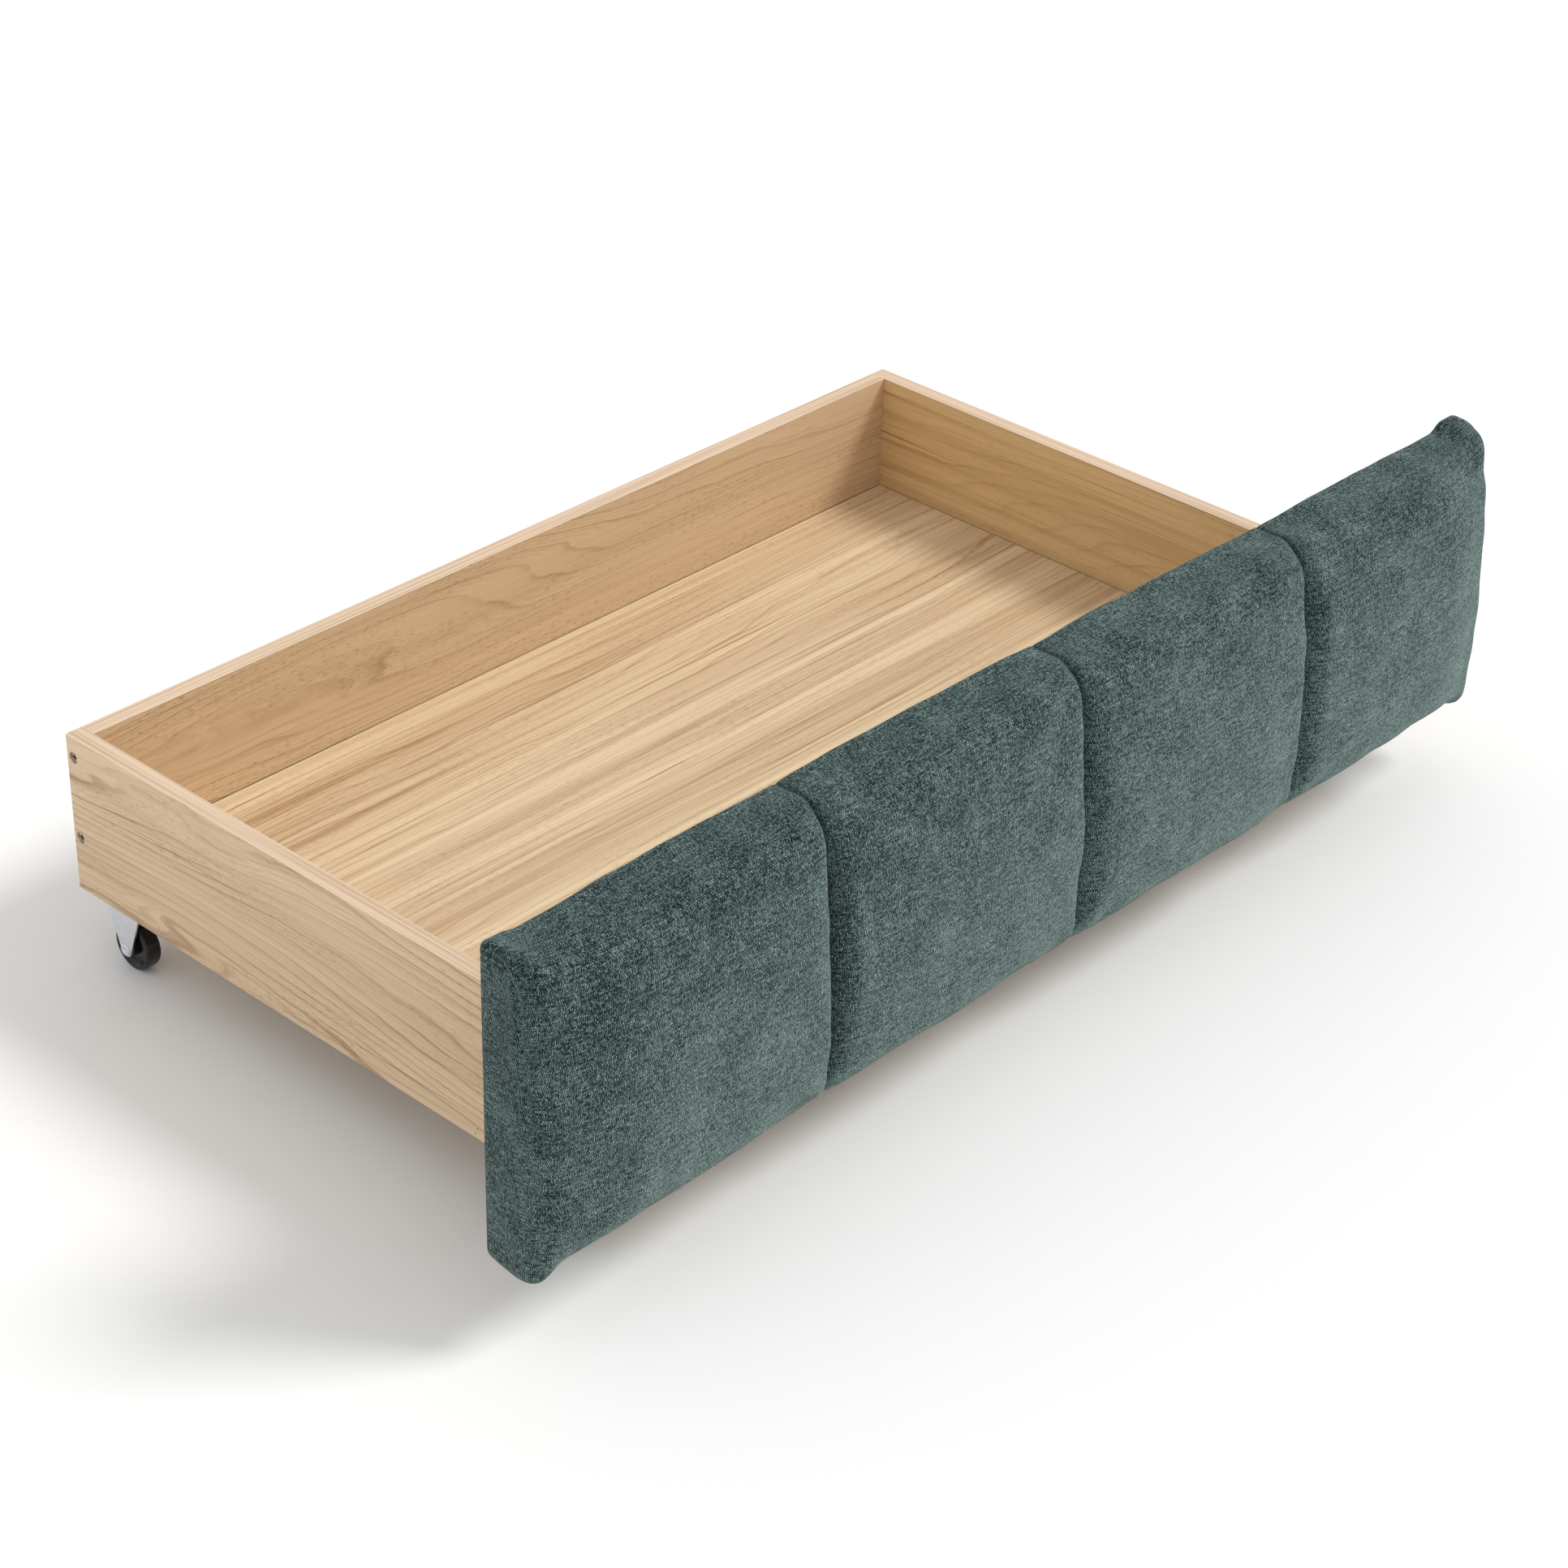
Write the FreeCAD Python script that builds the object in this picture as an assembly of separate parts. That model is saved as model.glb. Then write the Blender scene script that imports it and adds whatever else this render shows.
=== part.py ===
import FreeCAD, Part
import math
import os
from FreeCAD import Vector as V

# Wheeled drawer for the space under a bed, with an upholstered front, in millimetres.
# X runs along the front, -Y is the upholstered side, +Z is up and Z = 0 is the floor.
# X = 0 and Y = 0 are the middle of the whole object's outline in plan.

# Driving dimensions
BOARD = 15.0              # thickness of every panel, block and batten
BOX_WIDTH = 920.0         # over the outer faces of the two sides
BOX_DEPTH = 545.0         # from the back of the upholstered front to the rear face
SIDE_HEIGHT = 137.0
FRONT_LENGTH = 1095.0
FRONT_HEIGHT = 252.0
FRONT_CROWN = 63.0        # thickness of the upholstered front at the middle of a channel
FRONT_EDGE = 46.0         # its thickness along its edges and at the seams
CHANNELS = 4
CASTER_HEIGHT = 58.0      # floor to the underside of the box
WHEEL_DIAMETER = 40.0
CASTER_FROM_END = 46.5    # wheel axle to the near end of a side panel
CASTER_FROM_SIDE = 16.5   # middle of the wheel to the outer face of a side panel
EASED_EDGE = 0.5          # radius along every edge of the panels, blocks and battens

# Box
FLOOR_GAP = 1.0           # round the loose bottom panel
BLOCK_LENGTH = 105.0
BLOCK_WIDTH = 65.0
BATTEN_WIDTH = 30.0

# Box fasteners
CORNER_SCREW_HEIGHTS = (48.0, 119.0)
CORNER_SCREW_LENGTH = 50.0
CORNER_SCREW_SHANK = 5.0
CORNER_SCREW_HEAD = 9.6
CORNER_SCREW_SUNK = 1.2
DOWEL_HEIGHT = 84.0
DOWEL_DIAMETER = 8.0
DOWEL_LENGTH = 30.0
DOWEL_IN_SIDE = 10.0
STAPLE_CROWN = 6.0
STAPLE_WIRE = 0.8
STAPLE_DEPTH = 25.0
STAPLE_SUNK = 1.0
STAPLE_HEIGHT = 6.5       # above the underside of the box
SIDE_STAPLES = ((19.0, -25.0), (52.0, 0.0), (74.0, 24.0), (99.0, 62.0))  # from the end, tilt
BLOCK_STAPLES = (15.0, 45.0)    # through the back or inner front, from the side panel
BATTEN_STAPLES = 6

# Upholstered front
COVER = 1.0               # fabric
EDGE_WRAP = 8.0           # wadding and fabric wrapped over the edges of the board
BOARD_CORNER = 10.0       # radius of the board's four corners
DUST_COVER = 0.6          # non-woven backing
FLANGE = 40.0             # fabric turned onto the back
DUST_INSET = 12.0
COVER_STAPLE_INSET = 22.0
COVER_STAPLE_CROWN = 10.0
COVER_STAPLE_LEG = 8.0
COVER_STAPLE_PITCH = 100.0
BOLT_X = (-400.0, -140.0, 140.0, 400.0)
BOLT_Z = (60.0, 105.0)    # above the underside of the box
BOLT_DIAMETER = 6.0
BOLT_LENGTH = 30.0
BOLT_HEAD = 15.0
BOLT_HEAD_THICK = 1.6
BOLT_SOCKET = 4.0         # across flats
TEE_BARREL = 7.6
TEE_LENGTH = 9.0
TEE_FLANGE = 19.0
TEE_FLANGE_THICK = 1.2

# Casters
SHEET = 1.5
FORK_INSIDE = 21.0
FORK_TOP = 36.0           # width of a fork leg at the plate
FORK_TIP = 6.0            # radius of its lower end
FORK_BEND = 1.2           # inside radius of the folds
PLATE_LENGTH = 58.0
PLATE_CORNER = 4.0
PLATE_SCREW_X = 6.0
PLATE_SCREW_Y = 22.0
CASTER_SCREW = 3.5
CASTER_SCREW_LENGTH = 16.0
CASTER_SCREW_HEAD = 7.0
CASTER_SCREW_HEAD_THICK = 2.0
AXLE_DIAMETER = 6.0
AXLE_HEAD = 10.0
AXLE_HEAD_THICK = 1.6
BORE_CLEARANCE = 0.05
TREAD_WIDTH = 14.0
HUB_WIDTH = 20.0
HUB_DIAMETER = 13.0
RIM_INSIDE = 15.5         # radius where the recessed side begins
WEB_WIDTH = 7.0

# Worked out from the above
DEPTH = BOX_DEPTH + FRONT_CROWN
REAR = DEPTH / 2
SEAT = REAR - BOX_DEPTH                 # back plane of the upholstered front
HALF = BOX_WIDTH / 2
INNER = HALF - BOARD
BASE = CASTER_HEIGHT
RIM = BASE + SIDE_HEIGHT
BOARD_BACK = SEAT - DUST_COVER - COVER
BOARD_FRONT = BOARD_BACK - BOARD
CHANNEL = FRONT_LENGTH / CHANNELS
FRONT_TOP = BASE + FRONT_HEIGHT
WHEEL_X = HALF - CASTER_FROM_SIDE
WHEEL_Y = {"rear": REAR - CASTER_FROM_END, "front": SEAT + CASTER_FROM_END}
AXLE_Z = WHEEL_DIAMETER / 2
AXLE_DROP = BASE - AXLE_Z
SIDES = {"left": -1, "right": 1}


def block(low, high):
    size = [b - a for a, b in zip(low, high)]
    return Part.makeBox(size[0], size[1], size[2], V(*low))


def eased_board(low, high):
    board = block(low, high)
    return board.makeFillet(EASED_EDGE, board.Edges)


def rod(radius, start, direction, length):
    return Part.makeCylinder(radius, length, V(*start), V(*direction))


def join(solids):
    return solids[0].fuse(solids[1:]) if len(solids) > 1 else solids[0]


def cut_all(solid, tools):
    return solid.cut(tools) if tools else solid


def save(name, shape):
    solids = shape.Solids
    result = solids[0] if len(solids) == 1 else Part.makeCompound(solids)
    bad = [s for s in solids if not s.isValid()]
    box = result.BoundBox
    print("%-28s %2d solids, %9.0f mm3, z %.1f to %.1f%s" % (
        name, len(solids), result.Volume, box.ZMin, box.ZMax, " INVALID" if bad else ""))
    result.exportStep("parts/%s.step" % name)


def cross_recess(size, depth, width):
    # Cross-shaped drive recess, cut down from Z = 0 at the origin.
    arm = block((-size / 2, -width / 2, -depth), (size / 2, width / 2, 0))
    return arm.fuse(arm.rotated(V(), V(0, 0, 1), 90))


def place(shape, position, direction):
    # Puts a shape made along +Z at a position, pointing along a direction.
    turn = FreeCAD.Rotation(V(0, 0, 1), V(*direction))
    placed = shape.copy()
    placed.Placement = FreeCAD.Placement(V(*position), turn).multiply(shape.Placement)
    return placed


def place_level(shape, position, direction):
    # The same for a horizontal direction, keeping the shape's X axis horizontal.
    level = V(0, 0, 1).cross(V(*direction))
    turn = FreeCAD.Rotation(level, V(0, 0, 1), V(*direction), "ZXY")
    placed = shape.copy()
    placed.Placement = FreeCAD.Placement(V(*position), turn).multiply(shape.Placement)
    return placed


def corner_screw():
    # Connector screw with its countersunk head's face at Z = 0, pointing down -Z.
    head = CORNER_SCREW_HEAD / 2
    shank = CORNER_SCREW_SHANK / 2
    disc, cone = 1.5, 2.6
    parts = [rod(head, (0, 0, -disc), (0, 0, 1), disc),
             Part.makeCone(shank, head, cone, V(0, 0, -disc - cone)),
             rod(shank, (0, 0, -CORNER_SCREW_LENGTH + 3), (0, 0, 1), CORNER_SCREW_LENGTH - 3 - disc),
             Part.makeCone(0.8, shank, 3, V(0, 0, -CORNER_SCREW_LENGTH))]
    return join(parts).removeSplitter()


def corner_screws():
    # Two through each end of each side panel; returns the screws and the holes they fill.
    screws, holes = [], []
    bare = corner_screw()
    driven = bare.cut(cross_recess(5.4, 2.4, 1.3))
    mouth = rod(CORNER_SCREW_HEAD / 2, (0, 0, 0), (0, 0, 1), CORNER_SCREW_SUNK + 1)
    for side in SIDES.values():
        for y in (REAR - BOARD / 2, SEAT + BOARD / 2):
            for height in CORNER_SCREW_HEIGHTS:
                at = (side * (HALF - CORNER_SCREW_SUNK), y, BASE + height)
                screws.append(place(driven, at, (side, 0, 0)))
                holes.append(place(bare.fuse(mouth), at, (side, 0, 0)))
    return screws, holes


def corner_dowels():
    dowels = []
    for side in SIDES.values():
        start = side * (INNER + DOWEL_IN_SIDE)
        for y in (REAR - BOARD / 2, SEAT + BOARD / 2):
            dowels.append(rod(DOWEL_DIAMETER / 2, (start, y, BASE + DOWEL_HEIGHT),
                              (-side, 0, 0), DOWEL_LENGTH))
    return dowels


def frame_staple(tilt):
    # Staple driven down -Z from a surface at Z = 0, its crown along X turned by the tilt.
    wire = STAPLE_WIRE / 2
    reach = STAPLE_CROWN / 2
    top = -STAPLE_SUNK
    parts = [block((-reach, -wire, top - STAPLE_WIRE), (reach, wire, top))]
    pits = []
    for x in (-reach + wire, reach - wire):
        parts.append(block((x - wire, -wire, -STAPLE_DEPTH), (x + wire, wire, top)))
        pits.append(rod(0.7, (x, 0, top - 0.1), (0, 0, 1), 0.2 - top))
    staple = join(parts).removeSplitter()
    hole = join([staple] + pits)
    return [s.rotated(V(), V(0, 0, 1), tilt) for s in (staple, hole)]


def frame_staples():
    # Staples that hold the corner blocks and battens to the four panels.
    staples, holes = [], []

    def drive(at, direction, tilt):
        staple, hole = frame_staple(tilt)
        staples.append(place_level(staple, at, direction))
        holes.append(place_level(hole, at, direction))

    z = BASE + STAPLE_HEIGHT
    for end, face in ((1, REAR), (-1, SEAT)):
        for side in SIDES.values():
            for distance, tilt in SIDE_STAPLES:
                drive((side * HALF, face - end * distance, z), (side, 0, 0), tilt * end * side)
            for inset in BLOCK_STAPLES:
                drive((side * (INNER - inset), face, z), (0, end, 0), 0)
        span = 2 * (INNER - BLOCK_WIDTH) - 60
        for i in range(BATTEN_STAPLES):
            x = -span / 2 + i * span / (BATTEN_STAPLES - 1)
            drive((x, face, z), (0, end, 0), 0)
    return staples, holes


def front_bolts():
    # Flat-headed bolts from inside the box into tee nuts on the front's board.
    bolts, nuts, holes = [], [], []
    inside = SEAT + BOARD
    socket_radius = BOLT_SOCKET / math.sqrt(3)
    corners = [V(socket_radius * math.cos(a), 0, socket_radius * math.sin(a))
               for a in (math.radians(60 * i) for i in range(7))]
    socket = Part.Face(Part.makePolygon(corners)).extrude(V(0, BOLT_HEAD_THICK + 2, 0))
    for x in BOLT_X:
        for height in BOLT_Z:
            z = BASE + height
            shank = rod(BOLT_DIAMETER / 2, (x, inside, z), (0, -1, 0), BOLT_LENGTH)
            head = rod(BOLT_HEAD / 2, (x, inside, z), (0, 1, 0), BOLT_HEAD_THICK)
            head = head.makeFillet(0.8, [e for e in head.Edges
                                         if e.BoundBox.YMin > inside + BOLT_HEAD_THICK - 0.1])
            bolts.append(shank.fuse(head).removeSplitter().cut(
                socket.translated(V(x, inside - 2, z))))
            flange = rod(TEE_FLANGE / 2, (x, BOARD_FRONT, z), (0, -1, 0), TEE_FLANGE_THICK)
            barrel = rod(TEE_BARREL / 2, (x, BOARD_FRONT, z), (0, 1, 0), TEE_LENGTH)
            nut = flange.fuse(barrel).removeSplitter()
            hollow = rod(BOLT_DIAMETER / 2, (x, BOARD_FRONT - 3, z), (0, 1, 0), TEE_LENGTH + 4)
            nuts.append(nut.cut(hollow))
            way = rod(BOLT_DIAMETER / 2, (x, BOARD_FRONT, z), (0, 1, 0), inside - BOARD_FRONT)
            holes.append(nut.fuse(way))
    return bolts, nuts, holes


def arc_radius(chord, rise):
    return (chord * chord / 4 + rise * rise) / (2 * rise)


def channel(index, inset):
    # One crowned channel of the upholstery, solid from its back plane, shrunk by the inset.
    middle = -FRONT_LENGTH / 2 + (index + 0.5) * CHANNEL
    wide = CHANNEL - 2 * inset
    low, high = BASE + inset, FRONT_TOP - inset
    crown = SEAT - FRONT_CROWN + inset
    rise = FRONT_CROWN - FRONT_EDGE
    body = block((middle - wide / 2, crown, low), (middle + wide / 2, BOARD_BACK, high))
    upright = arc_radius(high - low, rise)
    along = arc_radius(wide, rise)
    body = body.common(rod(upright, (middle - CHANNEL, crown + upright, (low + high) / 2),
                           (1, 0, 0), 2 * CHANNEL))
    return body.common(rod(along, (middle, crown + along, low - 10), (0, 0, 1), high - low + 20))


def front_core():
    # The board inside the upholstered front, with its four corners rounded.
    half = FRONT_LENGTH / 2 - EDGE_WRAP
    core = block((-half, BOARD_FRONT, BASE + EDGE_WRAP), (half, BOARD_BACK, FRONT_TOP - EDGE_WRAP))
    corners = [e for e in core.Edges if e.BoundBox.YLength > BOARD / 2]
    return core.makeFillet(BOARD_CORNER, corners)


def upholstered_front(bolt_holes):
    # Board with its wadded edge, four foam pads, cover with its turned-in flange, backing cloth.
    core = front_core()
    half = FRONT_LENGTH / 2 - COVER
    wadding = block((-half, BOARD_FRONT, BASE + COVER), (half, BOARD_BACK, FRONT_TOP - COVER))
    wadding = wadding.cut(core)
    ahead = block((-FRONT_LENGTH, SEAT - 2 * FRONT_CROWN, 0),
                  (FRONT_LENGTH, BOARD_FRONT, FRONT_TOP + 50))
    pads = [channel(i, COVER).common(ahead) for i in range(CHANNELS)]
    skin = join([channel(i, 0.0) for i in range(CHANNELS)])
    flange = block((-FRONT_LENGTH / 2, BOARD_BACK, BASE),
                   (FRONT_LENGTH / 2, BOARD_BACK + COVER, FRONT_TOP))
    window = block((-FRONT_LENGTH / 2 + FLANGE, BOARD_BACK - 1, BASE + FLANGE),
                   (FRONT_LENGTH / 2 - FLANGE, BOARD_BACK + COVER + 1, FRONT_TOP - FLANGE))
    cover = join([skin, flange]).cut([core, wadding, window] + pads)
    dust = block((-FRONT_LENGTH / 2 + DUST_INSET, SEAT - DUST_COVER, BASE + DUST_INSET),
                 (FRONT_LENGTH / 2 - DUST_INSET, SEAT, FRONT_TOP - DUST_INSET))
    staples = cover_staples()
    board = core.cut(bolt_holes + staples)
    pads = [pad.cut(bolt_holes) for pad in pads]
    return board, wadding, pads, cover.cut(staples), dust.cut(bolt_holes + staples), staples


def cover_staple(x, z, upright):
    half = COVER_STAPLE_CROWN / 2
    wire = STAPLE_WIRE / 2
    back, tip = SEAT, SEAT - DUST_COVER - COVER - COVER_STAPLE_LEG
    reach = (wire, half) if upright else (half, wire)
    parts = [block((x - reach[0], back - DUST_COVER, z - reach[1]),
                   (x + reach[0], back, z + reach[1]))]
    for way in (-1, 1):
        cx = x if upright else x + way * (half - wire)
        cz = z + way * (half - wire) if upright else z
        parts.append(block((cx - wire, tip, cz - wire), (cx + wire, back, cz + wire)))
    return join(parts).removeSplitter()


def cover_staples():
    staples = []
    across = int((FRONT_LENGTH - 2 * COVER_STAPLE_INSET) // COVER_STAPLE_PITCH)
    for z in (BASE + COVER_STAPLE_INSET, FRONT_TOP - COVER_STAPLE_INSET):
        for i in range(across + 1):
            staples.append(cover_staple((i - across / 2) * COVER_STAPLE_PITCH, z, False))
    for x in (-1, 1):
        for i in (-1, 0, 1):
            staples.append(cover_staple(x * (FRONT_LENGTH / 2 - COVER_STAPLE_INSET),
                                        BASE + FRONT_HEIGHT / 2 + i * 55.0, True))
    return staples


def tangent_point(y, z, centre_z, radius):
    # Where the line from (y, z) touches the circle about (0, centre_z), on the side of y.
    dy, dz = y, z - centre_z
    span = math.hypot(dy, dz)
    turn = math.atan2(dz, dy) - math.copysign(math.acos(radius / span), y)
    return radius * math.cos(turn), centre_z + radius * math.sin(turn)


def fork_outline():
    # Side view of the fork: wide at the plate, tapering to a round end at the axle.
    half, shoulder = FORK_TOP / 2, -4.0
    right = tangent_point(half, shoulder, -AXLE_DROP, FORK_TIP)
    points = [V(0, half, 0), V(0, half, shoulder), V(0, right[0], right[1])]
    mirrored = [V(0, -p.y, p.z) for p in reversed(points)]
    arc = Part.Arc(points[-1], V(0, 0, -AXLE_DROP - FORK_TIP), mirrored[0]).toShape()
    edges = [Part.makeLine(a, b) for a, b in zip(points, points[1:])]
    edges.append(arc)
    edges += [Part.makeLine(a, b) for a, b in zip(mirrored, mirrored[1:])]
    edges.append(Part.makeLine(mirrored[-1], points[0]))
    return Part.Face(Part.Wire(edges))


def caster_bracket():
    # Plate and folded fork, with the plate's top face at Z = 0 and the wheel axle along X.
    outside = FORK_INSIDE / 2 + SHEET
    channel_out = block((-outside, -FORK_TOP / 2, -AXLE_DROP - FORK_TIP - 1),
                        (outside, FORK_TOP / 2, 0))
    channel_out = channel_out.makeFillet(FORK_BEND + SHEET, [
        e for e in channel_out.Edges if e.BoundBox.ZMin > -0.01 and e.BoundBox.YLength > 1])
    channel_in = block((-FORK_INSIDE / 2, -FORK_TOP, -AXLE_DROP - FORK_TIP - 5),
                       (FORK_INSIDE / 2, FORK_TOP, -SHEET))
    channel_in = channel_in.makeFillet(FORK_BEND, [
        e for e in channel_in.Edges
        if e.BoundBox.ZMin > -SHEET - 0.01 and e.BoundBox.YLength > 1])
    fork = channel_out.cut(channel_in)
    fork = fork.common(fork_outline().extrude(V(2 * outside + 2, 0, 0)).translated(
        V(-outside - 1, 0, 0)))
    plate_half = outside - FORK_BEND - SHEET + 1.0
    plate = block((-plate_half, -PLATE_LENGTH / 2, -SHEET), (plate_half, PLATE_LENGTH / 2, 0))
    plate = plate.makeFillet(PLATE_CORNER, [e for e in plate.Edges if e.BoundBox.ZLength > 1])
    bracket = fork.fuse(plate).removeSplitter()
    holes = [rod(CASTER_SCREW / 2, (sx * PLATE_SCREW_X, sy * PLATE_SCREW_Y, -SHEET - 1),
                 (0, 0, 1), SHEET + 2) for sx in (-1, 1) for sy in (-1, 1)]
    holes.append(rod(AXLE_DIAMETER / 2, (-outside - 1, 0, -AXLE_DROP), (1, 0, 0), 2 * outside + 2))
    return bracket.cut(holes)


def caster_axle():
    # Riveted axle along X through the fork, with a domed and dimpled head at each end.
    outside = FORK_INSIDE / 2 + SHEET
    centre = (-outside, 0, -AXLE_DROP)
    shaft = rod(AXLE_DIAMETER / 2, centre, (1, 0, 0), 2 * outside)
    parts = [shaft]
    for way in (-1, 1):
        head = rod(AXLE_HEAD / 2, (way * outside, 0, -AXLE_DROP), (way, 0, 0), AXLE_HEAD_THICK)
        rim = [e for e in head.Edges if abs(e.BoundBox.Center.x) > outside + AXLE_HEAD_THICK - 0.1]
        head = head.makeFillet(1.0, rim)
        dimple = Part.makeCone(0.8, 2.2, 1.0, V(way * (outside + AXLE_HEAD_THICK - 0.9), 0,
                                                -AXLE_DROP), V(way, 0, 0))
        parts.append(head.cut(dimple))
    return join(parts).removeSplitter()


def caster_wheel():
    # Moulded wheel about the X axis through the origin: tread, thin web, lip and long hub.
    outer = WHEEL_DIAMETER / 2
    tread, web, hub = TREAD_WIDTH / 2, WEB_WIDTH / 2, HUB_WIDTH / 2
    bore = AXLE_DIAMETER / 2 + BORE_CLEARANCE
    hub_radius = HUB_DIAMETER / 2
    side = [(hub, bore), (hub, hub_radius - 0.6), (hub - 0.6, hub_radius), (web, hub_radius + 0.8),
            (web, RIM_INSIDE - 1.5), (tread - 0.8, RIM_INSIDE + 0.6), (tread, RIM_INSIDE + 1.2),
            (tread, outer - 2.2)]
    corner = (tread - 0.7, outer - 0.7)
    crown = (tread - 2.2, outer)
    right = [V(x, 0, r) for x, r in side]
    left = [V(-x, 0, r) for x, r in reversed(side)]
    edges = [Part.makeLine(a, b) for a, b in zip(right, right[1:])]
    edges.append(Part.Arc(right[-1], V(corner[0], 0, corner[1]),
                          V(crown[0], 0, crown[1])).toShape())
    edges.append(Part.makeLine(V(crown[0], 0, crown[1]), V(-crown[0], 0, crown[1])))
    edges.append(Part.Arc(V(-crown[0], 0, crown[1]), V(-corner[0], 0, corner[1]),
                          left[0]).toShape())
    edges += [Part.makeLine(a, b) for a, b in zip(left, left[1:])]
    edges.append(Part.makeLine(left[-1], right[0]))
    return Part.Face(Part.Wire(edges)).revolve(V(), V(1, 0, 0), 360)


def caster_screw():
    # Pan-head screw pointing up +Z, with the underside of its head at Z = 0.
    radius = CASTER_SCREW / 2
    head = rod(CASTER_SCREW_HEAD / 2, (0, 0, -CASTER_SCREW_HEAD_THICK), (0, 0, 1),
               CASTER_SCREW_HEAD_THICK)
    head = head.makeFillet(1.3, [e for e in head.Edges
                                 if e.BoundBox.ZMax < -CASTER_SCREW_HEAD_THICK + 0.1])
    shank = rod(radius, (0, 0, 0), (0, 0, 1), CASTER_SCREW_LENGTH - 3)
    tip = Part.makeCone(radius, 0.4, 3, V(0, 0, CASTER_SCREW_LENGTH - 3))
    bare = join([head, shank, tip]).removeSplitter()
    slot = cross_recess(3.6, 1.2, 0.9).rotated(V(), V(1, 0, 0), 180)
    return bare, bare.cut(slot.translated(V(0, 0, -CASTER_SCREW_HEAD_THICK)))


def casters():
    # The four rigid casters: brackets, axles and wheels by corner, and all their screws.
    pieces, screws, holes = {}, [], []
    bare, driven = caster_screw()
    for end, y in WHEEL_Y.items():
        for hand, side in SIDES.items():
            corner = "%s_%s" % (end, hand)
            top = V(side * WHEEL_X, y, BASE)
            pieces["caster_bracket_" + corner] = caster_bracket().translated(top)
            pieces["caster_axle_" + corner] = caster_axle().translated(top)
            pieces["caster_wheel_" + corner] = caster_wheel().translated(
                V(side * WHEEL_X, y, AXLE_Z))
            for sx in (-1, 1):
                for sy in (-1, 1):
                    at = top + V(sx * PLATE_SCREW_X, sy * PLATE_SCREW_Y, -SHEET)
                    screws.append(driven.translated(at))
                    holes.append(bare.translated(at))
    return pieces, screws, holes


def box_panels():
    # Two full-depth sides, a back and an inner front between them, and the loose bottom.
    panels = {}
    for hand, side in SIDES.items():
        x = sorted((side * INNER, side * HALF))
        panels[hand + "_side_panel"] = eased_board((x[0], SEAT, BASE), (x[1], REAR, RIM))
    panels["back_panel"] = eased_board((-INNER, REAR - BOARD, BASE), (INNER, REAR, RIM))
    panels["inner_front_panel"] = eased_board((-INNER, SEAT, BASE), (INNER, SEAT + BOARD, RIM))
    panels["bottom_panel"] = eased_board(
        (-INNER + FLOOR_GAP, SEAT + BOARD + FLOOR_GAP, BASE + BOARD),
        (INNER - FLOOR_GAP, REAR - BOARD - FLOOR_GAP, BASE + 2 * BOARD))
    return panels


def box_supports():
    # Corner blocks that carry the casters, and battens between them, all under the bottom.
    supports = {}
    for end, face, inward in (("rear", REAR - BOARD, -1), ("front", SEAT + BOARD, 1)):
        for hand, side in SIDES.items():
            x = sorted((side * INNER, side * (INNER - BLOCK_WIDTH)))
            y = sorted((face, face + inward * BLOCK_LENGTH))
            supports["corner_block_%s_%s" % (end, hand)] = eased_board(
                (x[0], y[0], BASE), (x[1], y[1], BASE + BOARD))
        y = sorted((face, face + inward * BATTEN_WIDTH))
        supports[end + "_batten"] = eased_board(
            (-INNER + BLOCK_WIDTH, y[0], BASE), (INNER - BLOCK_WIDTH, y[1], BASE + BOARD))
    return supports


def main():
    os.makedirs("parts", exist_ok=True)
    screws, screw_holes = corner_screws()
    dowels = corner_dowels()
    staples, staple_holes = frame_staples()
    bolts, nuts, bolt_holes = front_bolts()
    caster_pieces, caster_screws, caster_holes = casters()
    holes = screw_holes + dowels + staple_holes + bolt_holes + caster_holes

    wood = {**box_panels(), **box_supports()}
    for name, panel in wood.items():
        near = [h for h in holes if h.BoundBox.intersect(panel.BoundBox)]
        save(name, cut_all(panel, near))

    board, wadding, pads, cover, dust, cover_pins = upholstered_front(bolt_holes)
    save("front_board", board)
    save("edge_wadding", wadding)
    for i, pad in enumerate(pads):
        save("foam_pad_%d" % (i + 1), pad)
    save("front_cover", cover)
    save("dust_cover", dust)
    save("cover_staples", Part.makeCompound(cover_pins))

    save("corner_screws", Part.makeCompound(screws))
    save("corner_dowels", Part.makeCompound(dowels))
    save("frame_staples", Part.makeCompound(staples))
    save("front_bolts", Part.makeCompound(bolts))
    save("tee_nuts", Part.makeCompound(nuts))
    save("caster_screws", Part.makeCompound(caster_screws))
    for name, piece in caster_pieces.items():
        save(name, piece)


main()
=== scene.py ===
import math
from types import SimpleNamespace

import bpy
import numpy as np
from mathutils import Matrix, Vector


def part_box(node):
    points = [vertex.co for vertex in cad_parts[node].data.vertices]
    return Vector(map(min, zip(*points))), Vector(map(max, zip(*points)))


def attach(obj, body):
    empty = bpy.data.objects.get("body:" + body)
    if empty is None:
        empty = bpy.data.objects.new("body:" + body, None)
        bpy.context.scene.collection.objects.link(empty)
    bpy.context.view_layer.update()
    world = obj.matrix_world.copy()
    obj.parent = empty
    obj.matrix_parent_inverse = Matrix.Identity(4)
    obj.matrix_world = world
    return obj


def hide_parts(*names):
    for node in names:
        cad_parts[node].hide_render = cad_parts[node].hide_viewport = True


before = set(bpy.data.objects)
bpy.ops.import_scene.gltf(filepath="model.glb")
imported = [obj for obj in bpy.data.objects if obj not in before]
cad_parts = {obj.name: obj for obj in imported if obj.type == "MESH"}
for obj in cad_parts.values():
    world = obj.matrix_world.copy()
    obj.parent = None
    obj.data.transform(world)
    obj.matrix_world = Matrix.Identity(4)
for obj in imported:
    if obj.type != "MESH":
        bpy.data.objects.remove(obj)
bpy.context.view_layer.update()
SEED = 7

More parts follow.
